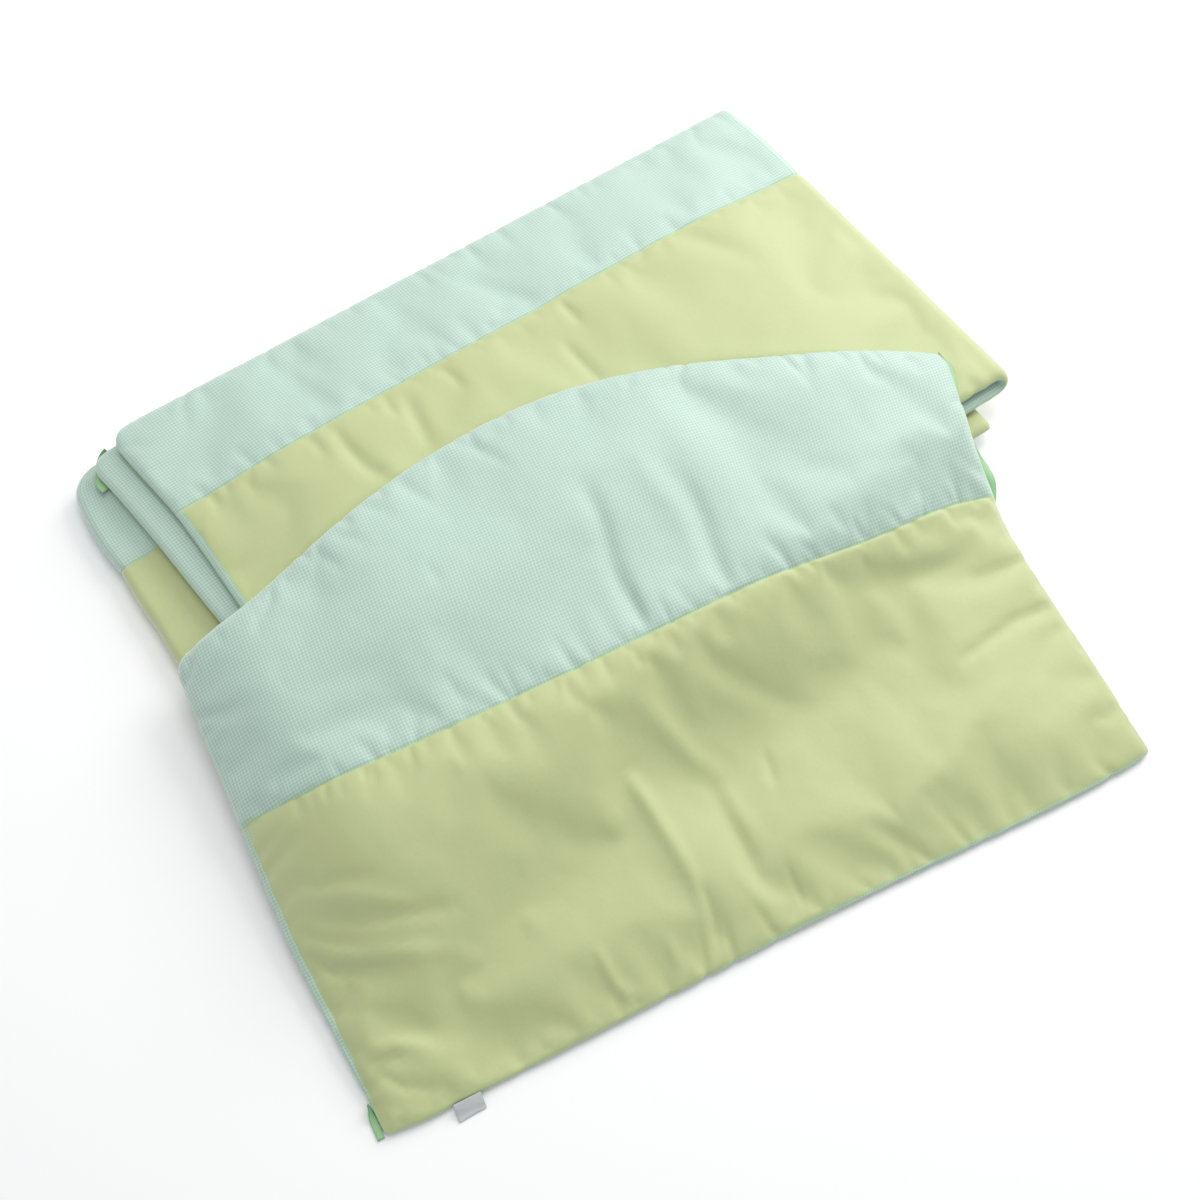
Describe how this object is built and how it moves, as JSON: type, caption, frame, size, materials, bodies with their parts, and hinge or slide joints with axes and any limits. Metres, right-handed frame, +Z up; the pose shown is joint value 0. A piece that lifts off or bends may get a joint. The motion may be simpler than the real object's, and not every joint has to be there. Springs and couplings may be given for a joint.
{
  "type": "crib bumper",
  "caption": "Padded cot bumper set: an arched head pad draped over folded side pads, with ribbon ties and a blank care label.",
  "frame": {"origin": "on the surface the set lies on, under the middle of the set's box", "axes": "+X along the folded side pads, from their left end to the right, +Y towards their back edge, +Z up"},
  "size_m": [0.7002, 0.6412, 0.0673],
  "materials": {
    "pad_cotton": "matte woven cotton: plain pale green panels, with a fine mint and white check on the bands and the backs",
    "satin_ribbon": "green satin ribbon with a soft sheen",
    "label_tape": "blank grey-white woven label tape"
  },
  "bodies": {
    "root": {"head_pad": "pad_cotton", "side_pad_upper": "pad_cotton", "side_pad_lower": "pad_cotton", "tie_head_arch": "satin_ribbon", "tie_head_foot": "satin_ribbon", "tie_side_upper": "satin_ribbon", "care_label": "label_tape"}
  },
  "joints": []
}
